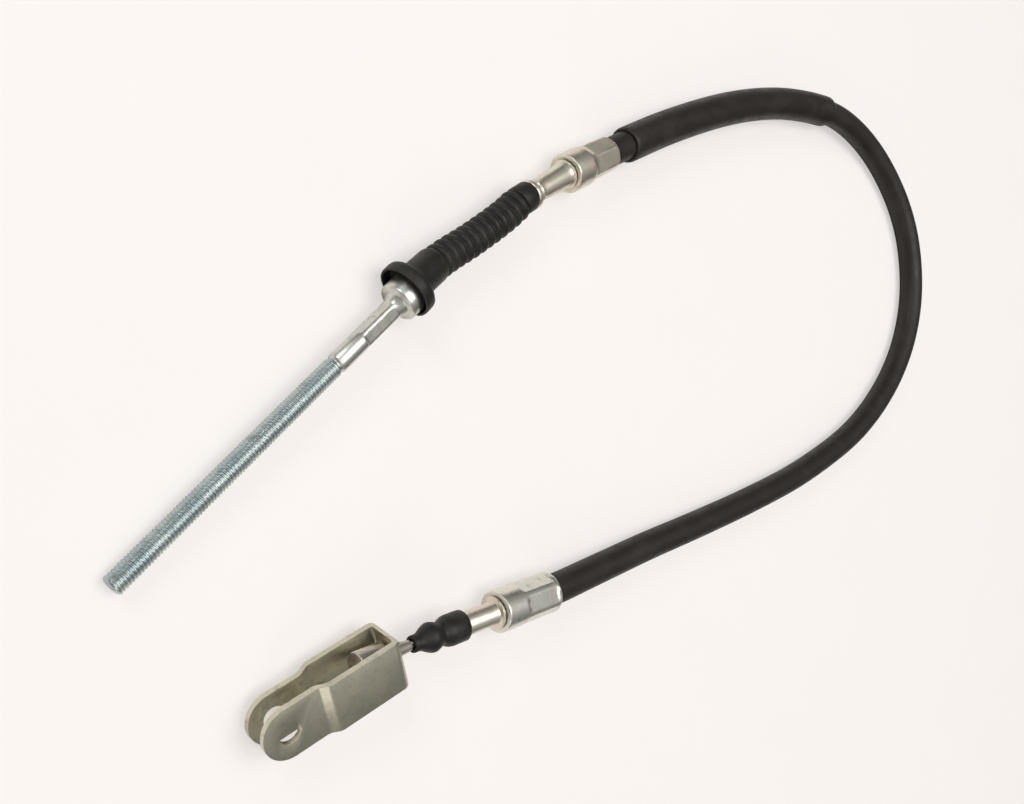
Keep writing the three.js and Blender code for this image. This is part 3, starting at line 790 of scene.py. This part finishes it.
# %% Dust boot
boot_start = PEDAL_FERRULE + PEDAL_TUBE - DUST_BOOT_GRIP
grip_end = DUST_BOOT_GRIP / MM
outline = [
    (3.75, 0.05), (4.45, 0), (4.65, 0.25), (4.68, 2.5), (4.68, 5.2), (4.55, 6.2), (4.2, 7.2),
    (3.75, 8.1), (3.52, 8.7), (3.52, 9.1), (3.75, 9.7), (4.1, 10.7), (4.38, 11.7), (4.4, 12.3),
    (4.2, 13.1), (3.6, 14.4), (2.9, 15.7), (2.62, 16.3), (2.5, 16.9), (2.5, 18.6), (2.35, 18.95),
    (1.75, 19), (1.55, 18.8), (1.55, grip_end + 0.7), (3.6, grip_end + 0.35), (3.62, 0.3),
]
boot_line = straight(PEDAL_MOUTH + WIRE_AXIS * boot_start, WIRE_AXIS)
small_boot = turned("wiper_boot", in_metres(outline), boot_line, 56, closed=True, smooth_angle=60)
dress(small_boot, rubber_material, "casing", "dust_boot")

# %% The tree that lays strands
rope_inputs = {"Lay": 12 * MM, "Helix Radius": 0.8 * MM, "Strand Radius": 0.4 * MM}
tree, start, end = new_tree("strands", rope_inputs, ["Material"])
tree.interface.new_socket("Strands", in_out="INPUT", socket_type="NodeSocketInt").default_value = 6
inputs = {"Curve": start.outputs["Geometry"], "Length": 0.5 * MM}
line = add(tree, "GeometryNodeResampleCurve", inputs, mode="LENGTH")
inputs = {"Geometry": line.outputs[0], "Amount": start.outputs["Strands"]}
copies = add(tree, "GeometryNodeDuplicateElements", inputs, domain="SPLINE")
travel = add(tree, "GeometryNodeSplineParameter").outputs["Length"]
share = sums(tree, "DIVIDE", copies.outputs["Duplicate Index"], start.outputs["Strands"])
angle = sums(tree, "ADD", sums(tree, "DIVIDE", travel, start.outputs["Lay"]), share)
angle = sums(tree, "MULTIPLY", angle, 2 * math.pi)
east = sums(tree, "MULTIPLY", sums(tree, "COSINE", angle), start.outputs["Helix Radius"])
north = sums(tree, "MULTIPLY", sums(tree, "SINE", angle), start.outputs["Helix Radius"])
offset = add(tree, "ShaderNodeCombineXYZ", {0: east, 1: north}).outputs[0]
moved = add(tree, "GeometryNodeSetPosition", {"Geometry": copies.outputs[0], "Offset": offset})
both = add(tree, "GeometryNodeJoinGeometry")
tree.links.new(moved.outputs[0], both.inputs[0])
tree.links.new(line.outputs[0], both.inputs[0])
inputs = {"Resolution": 10, "Radius": start.outputs["Strand Radius"]}
section = add(tree, "GeometryNodeCurvePrimitiveCircle", inputs)
inputs = {"Curve": both.outputs[0], "Profile Curve": section.outputs["Curve"], "Fill Caps": True}
rope = add(tree, "GeometryNodeCurveToMesh", inputs)
strand_tree = close_tree(tree, start, end, rope.outputs[0])

# %% The wire at the pedal end
head_zero = (FORK_WEB - PEDAL_MOUTH).length + 0.9 * MM
wire_from = 2 * MM
wire_to = head_zero - HEAD_CONE_END - 0.05 * MM
line = bpy.data.curves.new("wire_line", "CURVE")
line.dimensions = "3D"
spline = line.splines.new("POLY")
spline.points.add(1)
spline.points[0].co = (0, 0, 0, 1)
spline.points[1].co = (0, 0, wire_to - wire_from, 1)
carrier = link("wire_line", line)
tree_input = carrier.modifiers.new("strands", "NODES")
tree_input.node_group = strand_tree
for item in strand_tree.interface.items_tree:
    if item.name == "Material":
        tree_input[item.identifier] = wire_steel
bpy.context.view_layer.update()
rope_mesh = bpy.data.meshes.new_from_object(carrier.evaluated_get(bpy.context.evaluated_depsgraph_get()))
bpy.data.objects.remove(carrier)
wire_turn = Vector((0, 0, 1)).rotation_difference(WIRE_AXIS).to_matrix().to_4x4()
rope_mesh.transform(Matrix.Translation(PEDAL_MOUTH + WIRE_AXIS * wire_from) @ wire_turn)
for polygon in rope_mesh.polygons:
    polygon.use_smooth = True
wire = link("end_wire", rope_mesh)
dress(wire, wire_steel, "wire_end", "pedal_wire")

# %% The swaged head
outline = [
    (0, -6.8), (1.5, -6.8), (1.6, -6.65), (1.64, -6.3), (1.98, -3.2), (2.05, -2.4), (2.05, 1.5),
    (2.2, 1.62), (3.5, 2.35), (3.9, 2.75), (3.9, 11.3), (3.65, 11.65), (0, 11.7),
]
head_line = straight(PEDAL_MOUTH + WIRE_AXIS * head_zero, WIRE_AXIS)
head = turned("head", eased(in_metres(outline), 0.2 * MM), head_line, 56)
dress(head, head_zinc, "wire_end", "wire_head")

# %% [markdown]
# ## Fork
#
# The strap seen edge on, cut by its outline seen from the side, then drilled. A bevel rounds
# the sheared edges.

# %% Fork's frame and prisms
yaw, pitch, roll = math.radians(201.2), math.radians(5), math.radians(74.9)
fork_turn = (
    Matrix.Rotation(yaw, 4, "Z") @ Matrix.Rotation(pitch, 4, "Y") @ Matrix.Rotation(roll, 4, "X")
)
fork_place = Matrix.Translation(FORK_WEB) @ fork_turn


def prism(name, points, depth, upright=False):
    """A prism from a flat outline in millimetres, its depth along local Z or, upright, along Y."""
    mesh = bmesh.new()
    rings = []
    for level in (-depth / 2, depth / 2):
        ring = []
        for x, y in points:
            place = Vector((x, level, y)) if upright else Vector((x, y, level))
            ring.append(mesh.verts.new(place * MM))
        rings.append(ring)
    mesh.faces.new(rings[0])
    mesh.faces.new(rings[1])
    for i in range(len(points)):
        j = (i + 1) % len(points)
        mesh.faces.new([rings[0][i], rings[0][j], rings[1][j], rings[1][i]])
    bmesh.ops.recalc_face_normals(mesh, faces=mesh.faces)
    return finished(name, mesh)


def quarter(x, y, radius, from_degrees, to_degrees, steps=8):
    points = []
    for i in range(steps + 1):
        angle = math.radians(from_degrees + (to_degrees - from_degrees) * i / steps)
        points.append((x + radius * math.cos(angle), y + radius * math.sin(angle)))
    return points


# %% Fork's outlines, in millimetres
WIDTH = 15.2
THICK = 1.8
OUTER = 13.8
EYES_OUTER = 10
BEND = 2.6
EDGE_ROUND = 1.6
PIN_DISTANCE = 35.4
PIN_HOLE = 3.2
WEB_HOLE = 2.6


def strap_points(inset):
    """The strap edge on: wide throat, joggle, narrow eyes, round bends at the web."""
    wide, narrow = OUTER / 2 - inset, EYES_OUTER / 2 - inset
    bend = BEND - inset
    tip = PIN_DISTANCE + WIDTH / 2 + 1
    upper = [(tip, narrow), (26.4, narrow), (25.7, narrow + 0.06), (24.9, narrow + 0.34)]
    upper += [(23.2, wide - 0.34), (22.4, wide - 0.06), (21.7, wide)]
    lower = [(x, -y) for x, y in reversed(upper)]
    corner = quarter(inset + bend, wide - bend, bend, 90, 180)
    return [*upper, *corner, *[(x, -y) for x, y in reversed(corner)], *lower]


half = WIDTH / 2
side_points = quarter(EDGE_ROUND, half - EDGE_ROUND, EDGE_ROUND, 90, 180)
side_points += quarter(EDGE_ROUND, EDGE_ROUND - half, EDGE_ROUND, 180, 270)
side_points += quarter(PIN_DISTANCE, 0, half, -90, 90, 40)
eye_points = quarter(PIN_DISTANCE, 0, PIN_HOLE, 0, 360, 48)[:-1]
web_points = quarter(0, 0, WEB_HOLE, 0, 360, 32)[:-1]


# %% Fork's solid
def boolean(obj, other, operation):
    modifier = obj.modifiers.new(operation, "BOOLEAN")
    modifier.operation = operation
    modifier.object = other
    modifier.solver = "EXACT"


fork = prism("fork_strap", strap_points(0), WIDTH + 1)
web_drill = prism("web", web_points, 6)
web_drill.data.transform(Matrix.Rotation(math.pi / 2, 4, "Y"))
cutters = [
    (prism("inner", strap_points(THICK), WIDTH + 2), "DIFFERENCE"),
    (prism("side", side_points, 16, upright=True), "INTERSECT"),
    (prism("eye", eye_points, 16, upright=True), "DIFFERENCE"),
    (web_drill, "DIFFERENCE"),
]
for cutter, operation in cutters:
    boolean(fork, cutter, operation)
bevel = fork.modifiers.new("edges", "BEVEL")
bevel.width = 0.45 * MM
bevel.segments = 3
bevel.limit_method = "ANGLE"
bevel.angle_limit = math.radians(40)
bpy.context.view_layer.update()
fork_mesh = bpy.data.meshes.new_from_object(fork.evaluated_get(bpy.context.evaluated_depsgraph_get()))
fork.modifiers.clear()
fork.data = fork_mesh
for cutter, _ in cutters:
    bpy.data.objects.remove(cutter)
fork_mesh.transform(fork_place)
fork_mesh.update()
fork_mesh.polygons.foreach_set("use_smooth", [True] * len(fork_mesh.polygons))
fork_mesh.set_sharp_from_angle(angle=math.radians(30))
dress(fork, fork_zinc, "fork_end", "fork")

# %% [markdown]
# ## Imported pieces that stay
#
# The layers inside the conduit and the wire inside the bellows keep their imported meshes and
# only get materials.

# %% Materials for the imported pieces
for name, finish in {
    "armour_winding": wire_steel,
    "conduit_liner": liner_plastic,
    "wire_rope": wire_steel,
    "rod_wire": wire_steel,
}.items():
    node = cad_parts[name]
    node.data.materials.clear()
    node.data.materials.append(finish)

# %% [markdown]
# ## Table and light
#
# A wide pale floor, a large soft light above and two smaller ones. Where the camera sees the
# floor itself, a share of it glows, so that it reads as the pale background from edge to edge
# and still keeps the soft shadow.

# %% Floor
floor_mesh = bmesh.new()
bmesh.ops.create_grid(floor_mesh, x_segments=1, y_segments=1, size=6.0)
floor = finished("floor", floor_mesh)
floor.location.z = -0.02 * MM
floor_material, tree = material("floor")
speckle = between(tree, noise(tree, 30.0, 3.0), 0.3, 0.7)
paper = mixed(tree, speckle, (0.93, 0.895, 0.87, 1), (0.94, 0.905, 0.88, 1))
shader, output = surface(tree, paper, 0.0, 0.9, speckle, 0.0)
GLOW_SHARE = 0.55
glowing = add(tree, "ShaderNodeEmission", {"Color": (0.99, 0.945, 0.92, 1)})
seen = sums(tree, "MULTIPLY", add(tree, "ShaderNodeLightPath").outputs["Is Camera Ray"], GLOW_SHARE)
inputs = {0: seen, 1: shader.outputs["BSDF"], 2: glowing.outputs["Emission"]}
both = add(tree, "ShaderNodeMixShader", inputs)
tree.links.new(both.outputs[0], output.inputs["Surface"])
floor.data.materials.append(floor_material)


# %% Lights
def area(name, place, target, size, power, colour=(1, 1, 1)):
    data = bpy.data.lights.new(name, "AREA")
    data.shape = "DISK"
    data.size = size
    data.energy = power
    data.color = colour
    lamp = bpy.data.objects.new(name, data)
    bpy.context.scene.collection.objects.link(lamp)
    lamp.location = place
    lamp.rotation_mode = "QUATERNION"
    lamp.rotation_quaternion = (Vector(target) - Vector(place)).to_track_quat("-Z", "Y")
    return lamp


area("top_light", (0.1, 0.1, 1.4), (0, 0, 0), 1.1, 12, (1.0, 0.985, 0.97))
area("side_light", (-0.9, 0.75, 0.7), (-0.05, 0, 0), 0.5, 4, (0.97, 0.985, 1.0))
area("low_light", (-0.6, -0.9, 0.45), (-0.1, -0.05, 0), 0.4, 1.6, (1.0, 0.97, 0.94))

# %% World: brighter overhead, darker towards the horizon, so that metal has contrast
world = bpy.data.worlds.new("studio")
world.use_nodes = True
bpy.context.scene.world = world
tree = world.node_tree
tree.nodes.clear()
direction = add(tree, "ShaderNodeTexCoord").outputs["Generated"]
height = add(tree, "ShaderNodeSeparateXYZ", {0: direction}).outputs["Z"]
glow = between(tree, height, -0.1, 0.9)
sky = mixed(tree, glow, (0.08, 0.076, 0.07, 1), (1.0, 0.99, 0.97, 1))
background = add(tree, "ShaderNodeBackground", {"Color": sky, "Strength": 0.4})
add(tree, "ShaderNodeOutputWorld", {"Surface": background.outputs[0]})
bpy.context.scene.view_settings.view_transform = "Standard"

# %% Last update of the scene
bpy.context.view_layer.update()
